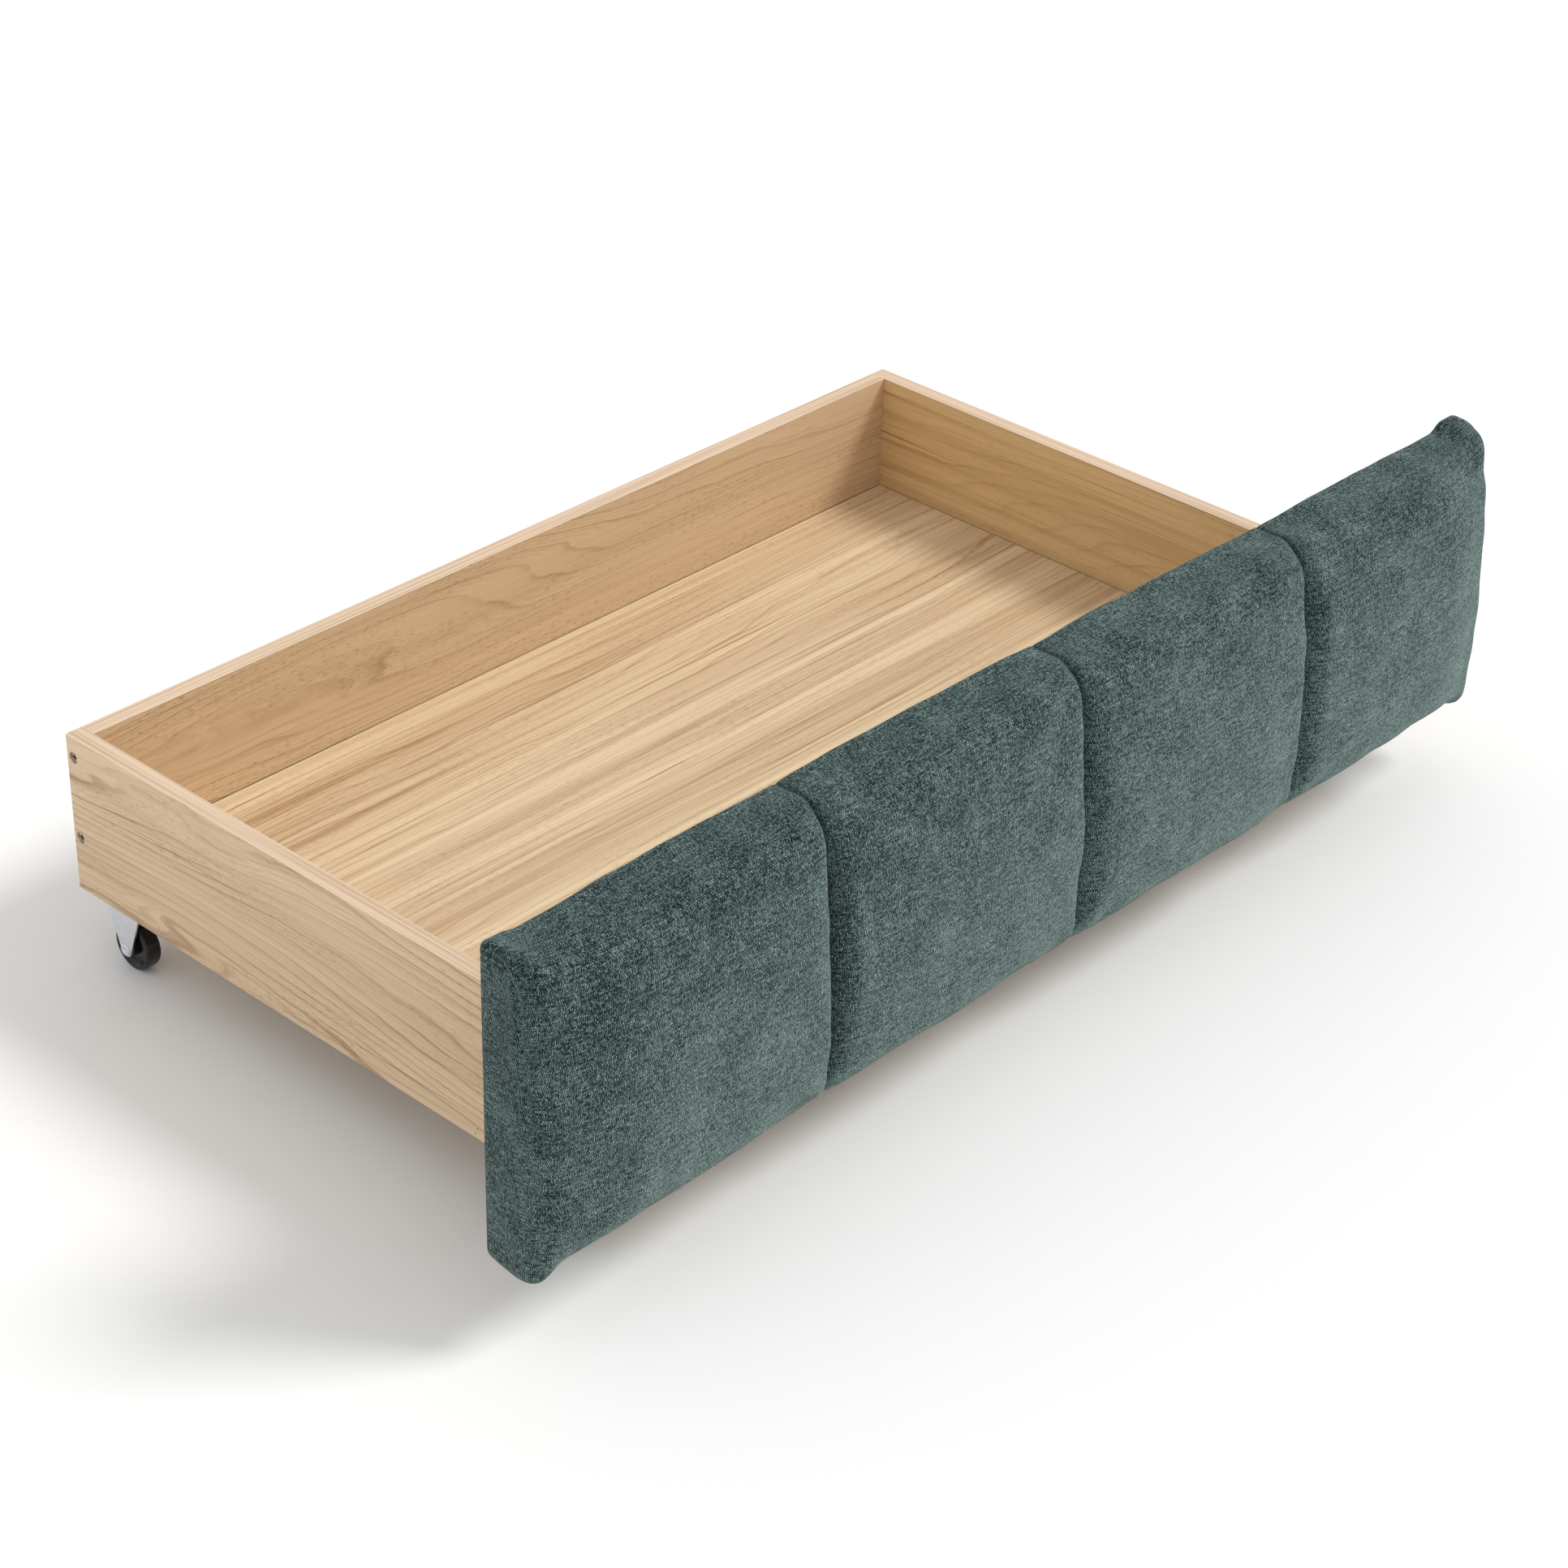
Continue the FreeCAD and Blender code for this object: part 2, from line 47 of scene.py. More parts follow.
# Camera and light, in metres and degrees
CAMERA_AZIMUTH = -48.0
CAMERA_ELEVATION = 31.8
CAMERA_ROLL = 1.75
CAMERA_DISTANCE = 2.835
CAMERA_LENS = 80.3          # millimetres, on a sensor 36 mm wide
CAMERA_AIM = Vector((0.0337, 0.0257, 0.058))
KEY_FROM = (0.50, -0.47, 0.72)
KEY_STRENGTH = 1.75
KEY_SPREAD = 18.0
SKY_STRENGTH = 0.74
FLOOR_REACH = 30.0

# Chenille, in millimetres
YARN_PITCH = 1.7            # one row of pile to the next
DASH_PITCH = 1.25           # one light dash and one dark along a row
ROW_SWAY = 5.0              # how far a row wanders up and down

# Oak foil
RING_RATE = 85.0            # growth rings to a metre across the board
FINE_RINGS = 3.3            # fine lines to one growth ring
ARCH_REACH = 27.0           # rings that an arch of the figure climbs over

# Mesh of the upholstered front
CHANNELS = 4
COLUMNS = 60                # in each channel
ROWS = 56                   # up the front
LAYERS = 18                 # through the thickness

# Shape of the upholstered front, in metres
EDGE_THICKNESS = 0.056      # halfway up, where a channel meets its neighbour
TAPER = 0.012               # how much thicker the front is at the bottom than at the top
BOW = 0.003                 # how far the left part rises and the right end sinks
BOW_SPAN = 1.24             # length of that wave, in lengths of the front
CROWN = 0.0148              # how far a channel stands out beyond its edges
SOFT_RADIUS = 0.030         # front edges along the top and bottom
FOOT_SOFTNESS = 0.45        # how much rounder the bottom edge is than the top one
CORNER_RADIUS = 0.014       # the same edges, where they reach the two ends
END_RADIUS = 0.018          # front edges at the two ends
TIGHT_RADIUS = 0.003        # back edges, pulled over the board
BACK_CORNER = 0.003         # how much rounder those are at the corners
END_REACH = 0.09            # how far from an end the front's edges and thickness change
CORNER_REACH = 0.03         # how far from an end the corners reach
EDGE_ZONE = 0.03            # how far from the top or bottom its edge reaches
SEAM_RADII = (0.011, 0.018)  # how far left and right of a seam the fabric dives into it
SEAM_SLOPE = 0.100          # how far from a seam a channel still rises
SEAM_SHARE = 0.64           # share of a channel's crown that it gains in that dive
SEAM_DEPTH = 0.008          # how far a seam is pulled in behind the front's edges
SEAM_NOTCH = 0.0015         # how far a seam nicks the top and bottom edges
STITCH_DEPTH = 0.0025       # narrow groove along the stitching itself
STITCH_WIDTH = 0.0016
TOP_SWELL = 0.0020          # how far a channel's top edge rises between two seams
END_DIP = 0.012             # how much thinner the front is at its two ends
END_RISE = 0.11             # how far from an end the crown reaches its height
END_CROWN = 0.45            # share of the crown that is left at the ends themselves
EAR_HEIGHTS = (0.003, 0.007)  # lump of gathered fabric at the left and right top corners
EAR_LENGTH = 0.019
EAR_FADE = 0.014            # how far the ear takes to run out
HOLLOW = 0.0028             # how far the top edge sinks beside an ear
PULL = 0.005                # how far the right-hand top back corner is pulled in
TUCK = (0.011, 0.007)       # lower corners: how far the back is raised and all is lowered
CREASE_DEPTH = 0.0022       # fold down the front edge of each end
CREASE_WIDTH = 0.0022
CREASE_TURN = 0.022         # radius on which the fold turns the top corner
LUMPS = ((0.0011, 0.11), (0.0005, 0.035))   # height and length of the padding's unevenness

# Cloth simulation of the upholstered front, in metres
CLOTH_FRAMES = 20
CLOTH_PRESSURE = 1.5
CLOTH_CAP = 0.0025          # the most that inflating the cover may move a point
STAND_BACK = 0.0015         # how much smaller the cover starts, before it is inflated
HELD_DEPTH = 0.012          # how far forward from its back the cover is held

# Backing cloth behind the front, in metres
SLACK = 0.0014              # the most that it stands off the board
STAPLE_LINE = 0.012         # how far in from its edges it is held flat


# ---------------------------------------------------------------- node helpers

class Graph:
    """Short calls for building one material's node tree."""

    def __init__(self, name):
        self.material = bpy.data.materials.new(name)
        self.material.use_nodes = True
        self.tree = self.material.node_tree
        self.shader = self.tree.nodes["Principled BSDF"]
        self.coordinates = self.tree.nodes.new("ShaderNodeTexCoord")

    def put(self, value, socket):
        if isinstance(value, bpy.types.NodeSocket):
            self.tree.links.new(value, socket)
        else:
            socket.default_value = value

    def math(self, operation, a, b=0.0, clamp=False):
        node = self.tree.nodes.new("ShaderNodeMath")
        node.operation = operation
        node.use_clamp = clamp
        self.put(a, node.inputs[0])
        self.put(b, node.inputs[1])
        return node.outputs[0]

    def add(self, a, b):
        return self.math("ADD", a, b)

    def times(self, a, b):
        return self.math("MULTIPLY", a, b)

    def split(self, vector):
        node = self.tree.nodes.new("ShaderNodeSeparateXYZ")
        self.put(vector, node.inputs[0])
        return node.outputs

    def vector(self, x, y, z=0.0):
        node = self.tree.nodes.new("ShaderNodeCombineXYZ")
        for value, socket in zip((x, y, z), node.inputs):
            self.put(value, socket)
        return node.outputs[0]

    def noise(self, vector, scale, detail, roughness=0.5):
        node = self.tree.nodes.new("ShaderNodeTexNoise")
        self.put(vector, node.inputs["Vector"])
        node.inputs["Scale"].default_value = scale
        node.inputs["Detail"].default_value = detail
        node.inputs["Roughness"].default_value = roughness
        return node.outputs["Fac"]

    def streaks(self, u, v, u_rate, v_rate, detail=2.0, roughness=0.5, w=0.0):
        """Noise with so many changes for each unit of u and of v."""
        place = self.vector(self.times(u, u_rate), self.times(v, v_rate), w)
        return self.noise(place, 1.0, detail, roughness)

    def white(self, x, y):
        node = self.tree.nodes.new("ShaderNodeTexWhiteNoise")
        node.noise_dimensions = "2D"
        self.put(self.vector(x, y), node.inputs["Vector"])
        return node.outputs["Value"]

    def between(self, value, low, high, start=0.0, end=1.0):
        """Value mapped from low..high to start..end, smoothly and clamped."""
        node = self.tree.nodes.new("ShaderNodeMapRange")
        node.interpolation_type = "SMOOTHSTEP"
        self.put(value, node.inputs["Value"])
        limits = {"From Min": low, "From Max": high, "To Min": start, "To Max": end}
        for name, number in limits.items():
            node.inputs[name].default_value = number
        return node.outputs["Result"]

    def mix(self, factor, a, b):
        node = self.tree.nodes.new("ShaderNodeMix")
        node.data_type = "RGBA"
        self.put(factor, node.inputs[0])
        self.put(colour(a) if isinstance(a, tuple) else a, node.inputs[6])
        self.put(colour(b) if isinstance(b, tuple) else b, node.inputs[7])
        return node.outputs[2]

    def bump(self, height, distance, strength=1.0):
        node = self.tree.nodes.new("ShaderNodeBump")
        node.inputs["Distance"].default_value = distance
        node.inputs["Strength"].default_value = strength
        self.put(height, node.inputs["Height"])
        return node.outputs[0]

    def surface(self, **values):
        """Sets the shader's sockets: numbers directly, node outputs as links."""
        for name, value in values.items():
            socket = self.shader.inputs[name.replace("_", " ")]
            self.put(colour(value) if isinstance(value, tuple) else value, socket)
        return self.material


def colour(rgb):
    return (*rgb, 1.0) if len(rgb) == 3 else rgb


# ---------------------------------------------------------------- materials

def oak_foil(name, along, thick, light, dark, rings=1.0, arches=1.0, bands=1.0, pores=1.0,
             shift=0.0, edge=((0.76, 0.58, 0.41), (0.56, 0.38, 0.25))):
    """Printed light oak on a board, with its grain along one axis and banding on its edges.

    rings, arches, bands and pores are how strong each part of the figure is, and shift is where
    on the printed pattern the board was cut.
    """
    g = Graph(name)
    place = g.split(g.coordinates.outputs["Object"])
    across = 3 - along - thick
    u = g.add(place[along], shift)
    v = g.add(place[across], shift * 0.37)

    wander = g.streaks(u, v, 1.5, 7.5, 1.5, 0.4)
    ripple = g.streaks(u, v, 8.0, 34.0)
    phase = g.add(g.times(v, RING_RATE), g.times(wander, ARCH_REACH * arches))
    phase = g.add(phase, g.times(ripple, 1.3))
    ring = g.math("FRACT", phase)
    line = g.times(g.between(ring, 0.74, 0.93), g.between(ring, 1.0, 0.95))
    soft = g.times(g.between(ring, 0.10, 0.95), g.between(ring, 1.0, 0.93))
    faint = g.streaks(u, v, 2.4, 26.0)
    line = g.times(line, g.between(faint, 0.34, 0.62, 0.15, 1.0))
    fine = g.math("FRACT", g.times(phase, FINE_RINGS))
    fine = g.times(g.between(fine, 0.45, 0.85), g.between(fine, 1.0, 0.88))
    bunch = g.streaks(u, v, 3.1, 45.0, w=0.5)
    fine = g.times(fine, g.between(bunch, 0.40, 0.62))

    band = g.streaks(u, v, 0.8, 21.0, 3.0, 0.6)
    stripe = g.streaks(u, v, 1.3, 105.0, 2.5, 0.6)
    thread = g.streaks(u, v, 2.2, 300.0, 2.0, 0.6)
    fibre = g.streaks(u, v, 24.0, 900.0, 2.0, 0.6)
    dash = g.streaks(u, v, 120.0, 1300.0, 1.0)
    where = g.streaks(u, v, 5.0, 22.0)
    dash = g.times(g.between(dash, 0.58, 0.68), g.between(where, 0.38, 0.60))

    shade = g.add(g.times(line, 0.52 * rings), g.times(soft, 0.10 * rings))
    shade = g.add(shade, g.times(fine, 0.30 * rings))
    shade = g.add(shade, g.between(band, 0.30, 0.70, 0.0, 0.26 * bands))
    shade = g.add(shade, g.between(stripe, 0.36, 0.72, 0.0, 0.20 * bands))
    shade = g.add(shade, g.between(thread, 0.54, 0.72, 0.0, 0.26 * bands))
    crack = g.times(g.between(thread, 0.62, 0.70), g.between(faint, 0.50, 0.58))
    shade = g.add(shade, g.times(crack, 0.50 * bands))
    shade = g.add(shade, g.times(g.add(fibre, -0.5), 0.22))
    shade = g.math("MULTIPLY", g.add(shade, g.times(dash, 0.34 * pores)), 1.0, clamp=True)
    tint = g.mix(shade, light, dark)

    normal = g.split(g.coordinates.outputs["Normal"])
    facing = g.math("ABSOLUTE", normal[thick])
    grain = g.streaks(g.add(u, v), place[thick], 3.5, 620.0, 3.0)
    # for the bottom board these edge colours are near black: painted shade of the gap beside it
    banding = g.mix(g.between(grain, 0.40, 0.70), *edge)
    tint = g.mix(g.between(facing, 0.6, 0.3), tint, banding)
    # painted highlight: near-white along the rounded edges, where a glint would catch the light,
    # broken up by noise along the board
    steepest = g.math("MAXIMUM", g.math("ABSOLUTE", normal[0]), g.math("ABSOLUTE", normal[1]))
    steepest = g.math("MAXIMUM", steepest, g.math("ABSOLUTE", normal[2]))
    glint_break = g.streaks(u, place[thick], 6.0, 40.0)
    edge_glint = g.times(g.between(steepest, 0.94, 0.80), g.between(glint_break, 0.40, 0.55, 0.15, 0.85))
    tint = g.mix(edge_glint, tint, (0.95, 0.90, 0.82))
    height = g.add(g.times(fibre, 0.6), g.times(dash, -1.0))
    return g.surface(Base_Color=tint, Roughness=g.between(fibre, 0.2, 0.8, 0.40, 0.54),
                     Specular_IOR_Level=0.45, Normal=g.bump(height, 0.0001, 0.6))


def plain_wood(name, along, light, dark, roughness):
    """Planed, unfinished softwood."""
    g = Graph(name)
    place = g.split(g.coordinates.outputs["Object"])
    others = [place[i] for i in range(3) if i != along]
    u, v, w = place[along], others[0], others[1]
    wander = g.streaks(u, v, 3.0, 12.0, w=g.times(w, 12.0))
    ring = g.math("FRACT", g.add(g.times(g.add(v, w), 190.0), g.times(wander, 9.0)))
    late = g.times(g.between(ring, 0.3, 0.9), g.between(ring, 1.0, 0.94))
    fibre = g.streaks(u, v, 40.0, 900.0, w=g.times(w, 900.0))
    shade = g.add(g.times(late, 0.6), g.times(g.add(fibre, -0.4), 0.5))
    return g.surface(Base_Color=g.mix(shade, light, dark), Roughness=roughness,
                     Normal=g.bump(fibre, 0.0002, 0.7))


def chipboard(name):
    g = Graph(name)
    where = g.coordinates.outputs["Object"]
    chips = g.noise(where, 420.0, 3.0, 0.7)
    tint = g.mix(g.between(chips, 0.35, 0.65), (0.50, 0.36, 0.22), (0.72, 0.56, 0.38))
    return g.surface(Base_Color=tint, Roughness=0.85, Normal=g.bump(chips, 0.0004))


def chenille(name):
    """Rows of short light and dark pile dashes, with tufts, slubs, streaks and brushed patches.

    Painted light and shade: darker where the fabric faces up or left and towards the top, lighter
    where it faces down or right.
    """
    g = Graph(name)
    uv = g.split(g.coordinates.outputs["UV"])
    u = g.times(uv[0], 1000.0)
    v = g.times(uv[1], 1000.0)
    sway = g.streaks(u, v, 0.02, 0.02)
    v = g.add(v, g.times(sway, ROW_SWAY))

    across = g.times(v, 1 / YARN_PITCH)
    row = g.math("FLOOR", across)
    up = g.math("FRACT", across)
    parity = g.add(g.times(g.math("FLOORED_MODULO", row, 2.0), 2.0), -1.0)
    jitter = g.streaks(u, row, 0.30, 0.77)
    beat = g.add(g.times(u, 1 / DASH_PITCH), g.times(parity, 0.25))
    beat = g.add(beat, g.times(g.times(g.add(up, -0.5), parity), 0.30))
    beat = g.add(beat, g.times(jitter, 2.4))
    dash = g.math("SINE", g.times(beat, 2 * math.pi))
    toss = g.white(row, g.math("FLOOR", g.times(beat, 2.0)))
    ridge = g.math("POWER", g.math("SINE", g.times(up, math.pi)), 0.45)

    slub = g.streaks(u, v, 0.025, 0.40, 3.0, 0.6)
    streak = g.streaks(u, v, 0.13, 0.75, 2.0, 0.6)
    patch = g.streaks(u, v, 0.030, 0.022, 5.0, 0.66)
    fuzz = g.streaks(u, v, 1.3, 1.9, 1.0, 0.75)
    tuft = g.streaks(u, v, 0.17, 0.95, 2.0, 0.6)

    tone = g.add(0.21, g.times(g.times(dash, ridge), g.add(0.18, g.times(toss, 0.40))))
    tone = g.add(tone, g.times(g.add(toss, -0.5), 0.40))
    tone = g.add(tone, g.times(g.add(fuzz, -0.5), 1.40))
    tone = g.add(tone, g.times(g.add(tuft, -0.5), 0.80))
    tone = g.add(tone, g.times(g.add(ridge, -0.8), 0.12))
    tone = g.add(tone, g.between(slub, 0.32, 0.68, -0.08, 0.09))
    tone = g.add(tone, g.between(streak, 0.34, 0.66, -0.11, 0.11))
    tone = g.add(tone, g.between(patch, 0.36, 0.70, -0.04, 0.10))

    normal = g.split(g.coordinates.outputs["Normal"])
    # painted light: lighter towards the bottom, where the floor's bounce lights the fabric
    tone = g.add(tone, g.between(v, 90.0, 290.0, 0.03, -0.03))
    tone = g.add(tone, g.between(u, -500.0, 500.0, -0.02, 0.03))
    # painted light and shade: lighter where the fabric faces right or down, darker where it faces
    # left or up, as the key from the right and the floor's bounce would light it
    tone = g.add(tone, g.between(normal[0], -0.30, 0.30, -0.06, 0.06))
    tone = g.add(tone, g.between(normal[2], -0.40, 0.50, 0.07, -0.08))
    tint = g.mix(g.math("MULTIPLY", tone, 1.0, clamp=True), (0.002, 0.014, 0.014),
                 (0.335, 0.462, 0.438))
    height = g.add(g.times(ridge, g.add(g.times(dash, 0.4), 0.7)), g.times(fuzz, 0.5))
    return g.surface(Base_Color=tint, Roughness=0.95, Specular_IOR_Level=0.10,
                     Sheen_Weight=0.25, Sheen_Roughness=0.38, Sheen_Tint=(0.66, 0.80, 0.77),
                     Normal=g.bump(height, 0.0006, 0.7))


def backing_cloth(name):
    """Black spun-bonded cloth with its pressed dot pattern."""
    g = Graph(name)
    where = g.split(g.coordinates.outputs["Object"])
    x = g.times(where[0], 900.0)
    z = g.times(where[2], 900.0)
    wave = g.times(g.math("SINE", g.times(g.add(x, z), math.pi)),
                   g.math("SINE", g.times(g.add(x, g.times(z, -1.0)), math.pi)))
    dots = g.between(wave, 0.35, 0.75)
    fibres = g.noise(g.coordinates.outputs["Object"], 700.0, 4.0, 0.8)
    tint = g.mix(g.between(fibres, 0.35, 0.7), (0.012, 0.012, 0.013), (0.040, 0.040, 0.042))
    height = g.add(g.times(dots, -0.7), g.times(fibres, 0.5))
    return g.surface(Base_Color=tint, Roughness=g.between(dots, 0.0, 1.0, 0.85, 0.55),
                     Normal=g.bump(height, 0.00025))


def plated(name, tint, roughness, mottle):
    """Zinc plating: faint spangle and rolling marks."""
    g = Graph(name)
    where = g.coordinates.outputs["Object"]
    cloud = g.noise(where, 160.0, 3.0, 0.6)
    grain = g.noise(where, 2600.0, 2.0, 0.6)
    dull = tuple(c * (1.0 - mottle) for c in tint)
    return g.surface(Base_Color=g.mix(g.between(cloud, 0.3, 0.7), tint, dull), Metallic=1.0,
                     Roughness=g.between(cloud, 0.25, 0.75, roughness - 0.07, roughness + 0.08),
                     Normal=g.bump(grain, 0.00004, 0.5))


def moulded_plastic(name):
    """Black moulded wheel: faint scuffs on a fine texture."""
    g = Graph(name)
    where = g.coordinates.outputs["Object"]
    speckle = g.noise(where, 1800.0, 2.0, 0.6)
    scuff = g.between(g.noise(where, 130.0, 4.0, 0.7), 0.52, 0.72)
    tint = g.mix(scuff, (0.005, 0.005, 0.006), (0.013, 0.013, 0.014))
    return g.surface(Base_Color=tint, Roughness=g.between(scuff, 0.0, 1.0, 0.28, 0.44),
                     Normal=g.bump(speckle, 0.00005, 0.6))


def paint_nodes():
    """Gives every CAD node its node-based material."""
    x_axis, y_axis, z_axis = 0, 1, 2
    left = ((0.800, 0.590, 0.375), (0.380, 0.230, 0.125))
    # warmer and more saturated than the other boards: painted shade, standing for the orange
    # bounce light inside the box
    right = ((0.820, 0.590, 0.305), (0.450, 0.265, 0.110))
    back = ((0.720, 0.525, 0.325), (0.370, 0.225, 0.110))
    floor = ((0.840, 0.670, 0.435), (0.420, 0.245, 0.115))
    # near-black edge colours for the bottom board: painted shade of the gap between it and the
    # walls
    gap_shade = ((0.12, 0.07, 0.04), (0.05, 0.03, 0.02))
    finishes = {
        "left_side_panel": oak_foil(
            "oak_left", y_axis, x_axis, *left, arches=0.6, bands=0.7, pores=1.3, shift=3.1),
        "right_side_panel": oak_foil(
            "oak_right", y_axis, x_axis, *right, rings=0.45, arches=0.6, bands=1.5, shift=5.7),
        "back_panel": oak_foil(
            "oak_back", x_axis, y_axis, *back, rings=0.65, arches=0.7, bands=0.7, pores=1.7,
            shift=1.3),
        "inner_front_panel": oak_foil("oak_inner_front", x_axis, y_axis, *back, shift=8.2),
        "bottom_panel": oak_foil(
            "oak_bottom", x_axis, z_axis, *floor, rings=0.5, arches=0.35, bands=1.7, shift=2.4,
            edge=gap_shade),
        "front_board": chipboard("chipboard"),
        "corner_dowels": plain_wood("beech", x_axis, (0.62, 0.42, 0.25), (0.45, 0.28, 0.15), 0.6),
        "cover_staples": plated("staple_wire", (0.56, 0.56, 0.55), 0.35, 0.15),
        # frame staples near black: painted shade of the slots they are sunk in
        "frame_staples": plated("shaded_staple_wire", (0.20, 0.18, 0.16), 0.50, 0.30),
    }
    zinc = plated("zinc_screw", (0.46, 0.41, 0.30), 0.34, 0.30)
    for node in ("corner_screws", "front_bolts", "tee_nuts", "caster_screws"):
        finishes[node] = zinc
    pine = {axis: plain_wood("pine_%d" % axis, axis, (0.72, 0.53, 0.33), (0.52, 0.33, 0.17), 0.62)
            for axis in (x_axis, y_axis)}
    plate = plated("zinc_plate", (0.80, 0.82, 0.86), 0.34, 0.08)
    plastic = moulded_plastic("black_plastic")
    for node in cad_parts:
        if "corner_block" in node:
            finishes[node] = pine[y_axis]
        elif "batten" in node:
            finishes[node] = pine[x_axis]
        elif "caster_wheel" in node:
            finishes[node] = plastic
        elif "caster_bracket" in node or "caster_axle" in node:
            finishes[node] = plate
    for node, finish in finishes.items():
        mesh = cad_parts[node].data
        mesh.materials.clear()
        mesh.materials.append(finish)


# ---------------------------------------------------------------- upholstered front

def clustered(count, bunch):
    """0 to 1 in equal counts, closer together near both ends."""
    c = np.linspace(0.0, 1.0, count + 1)
    return c - bunch * np.sin(2 * np.pi * c) / (2 * np.pi)


def box_lattice(xs, ys, zs):
    """Vertices and faces of a box's surface on a lattice, and each face's side."""
    index, points = {}, []

    def vertex(i, j, k):
        if (i, j, k) not in index:
            index[(i, j, k)] = len(points)
            points.append((xs[i], ys[j], zs[k]))
        return index[(i, j, k)]

    ends = (len(xs) - 1, len(ys) - 1, len(zs) - 1)
    faces, sides = [], []
    for axis in range(3):
        a, b = [i for i in range(3) if i != axis]
        for level in (0, ends[axis]):
            for p in range(ends[a]):
                for q in range(ends[b]):
                    ring = []
                    for dp, dq in ((0, 0), (1, 0), (1, 1), (0, 1)):
                        key = [0, 0, 0]
                        key[axis], key[a], key[b] = level, p + dp, q + dq
                        ring.append(vertex(*key))
                    outward = (level > 0) != (axis == 1)
                    faces.append(ring if outward else ring[::-1])
                    sides.append((axis, level > 0))
    return np.array(points), faces, sides


def smooth(t):
    t = np.clip(t, 0.0, 1.0)
    return t * t * (3 - 2 * t)


def rounded(p, low, high):
    """Box points moved onto the same box with round edges, soft in front and tight behind."""
    front = smooth((high[1] - p[:, 1]) / (high[1] - low[1]))
    to_end = np.minimum(p[:, 0] - low[0], high[0] - p[:, 0])
    low_down = smooth((high[2] - p[:, 2]) / (high[2] - low[2]))
    full = SOFT_RADIUS * (1.0 + FOOT_SOFTNESS * low_down)
    soft = CORNER_RADIUS + (full - CORNER_RADIUS) * smooth(to_end / END_REACH)
    tight = TIGHT_RADIUS + BACK_CORNER * (1.0 - smooth(to_end / CORNER_REACH))
    radius = np.empty_like(p)
    radius[:, 0] = tight + (END_RADIUS - tight) * front
    radius[:, 1] = np.where(p[:, 1] > high[1] - tight, tight, soft)
    radius[:, 2] = tight + (soft - tight) * front
    core = np.clip(p, low + radius, high - radius)
    core[:, 1] = np.clip(p[:, 1], low[1] + soft, high[1] - tight)
    reach = (p - core) / radius
    length = np.maximum(np.linalg.norm(reach, axis=1, keepdims=True), 1e-9)
    return core + radius * reach / length


def lumps(p, seed, wavelength, count=26):
    """Smooth seeded unevenness between -1 and 1, from a sum of plane waves."""
    rng = np.random.default_rng(seed)
    total = np.zeros(len(p))
    for _ in range(count):
        direction = rng.normal(size=3)
        direction /= np.linalg.norm(direction)
        pitch = wavelength * rng.uniform(0.6, 1.6)
        total += np.sin(2 * np.pi * (p @ direction) / pitch + rng.uniform(0, 2 * np.pi))
    return total / math.sqrt(count)


def crowned(p, low, high):
    """The round-edged box with its four channels crowned, seams pulled in and corners folded."""
    q = rounded(p, low, high)
    width = (high[0] - low[0]) / CHANNELS
    along = (q[:, 0] - low[0]) / width
    from_seam = (along - np.clip(np.round(along), 1, CHANNELS - 1)) * width
    to_seam = np.abs(from_seam)
    dive_radius = np.where(from_seam < 0, SEAM_RADII[0], SEAM_RADII[1])
    depth = high[1] - q[:, 1]
    at = SimpleNamespace(
        along=along,
        to_seam=to_seam,
        tight=np.sqrt(1.0 - np.clip(1.0 - to_seam / dive_radius, 0.0, 1.0) ** 2),
        to_end=np.minimum(q[:, 0] - low[0], high[0] - q[:, 0]),
        depth=depth,
        forward=smooth(depth / (high[1] - low[1]) * 1.25 - 0.2),
        outside=smooth((depth + 0.001) / 0.004),
        top=smooth((q[:, 2] - high[2] + EDGE_ZONE) / (EDGE_ZONE - 0.002)),
        foot=smooth((low[2] + EDGE_ZONE - q[:, 2]) / (EDGE_ZONE - 0.002)))
    swell_channels(q, at, low, high)
    shape_corners(q, at, low, high)
    crease_end(q, at, low, high)
    uneven = sum(height * lumps(q, SEED + i, length) for i, (height, length) in enumerate(LUMPS))
    q[:, 2] += uneven * (at.top - 0.25 * at.foot) * at.outside
    q[:, 1] -= 0.6 * uneven * at.forward * at.tight
    return q


def swell_channels(q, at, low, high):
    """Crowns the channels between their seams, and bows and tapers the whole front."""
    slope = 1.0 - np.clip(1.0 - at.to_seam / SEAM_SLOPE, 0.0, 1.0) ** 2
    stitch = np.exp(-(at.to_seam / STITCH_WIDTH) ** 2)
    fullness = SEAM_SHARE * at.tight + (1.0 - SEAM_SHARE) * slope
    fullness *= 1.0 - (1.0 - END_CROWN) * np.clip(1.0 - at.to_end / END_RISE, 0.0, 1.0) ** 2.2
    height = high[2] - low[2]
    middle = (low[2] + high[2]) / 2
    upright = np.clip(1.0 - ((q[:, 2] - middle) / (height / 2)) ** 2, 0.0, 1.0)
    dive = SEAM_DEPTH * (0.4 + 0.6 * upright)
    q[:, 1] -= CROWN * fullness * upright * at.forward
    q[:, 1] += (dive * (1.0 - at.tight) + STITCH_DEPTH * stitch) * at.forward
    q[:, 1] += TAPER * (q[:, 2] - middle) / height * at.forward
    q[:, 1] += END_DIP * (1.0 - smooth(at.to_end / END_REACH)) * at.forward
    wave = np.sin(2 * np.pi * at.along / CHANNELS / BOW_SPAN)
    q[:, 2] -= SEAM_NOTCH * (1.0 - at.tight + stitch) * (at.top - at.foot) * at.outside
    q[:, 2] += BOW * wave * (1.0 - 0.6 * at.foot) + 0.001 * at.top
    q[:, 2] += TOP_SWELL * slope * at.top * at.outside


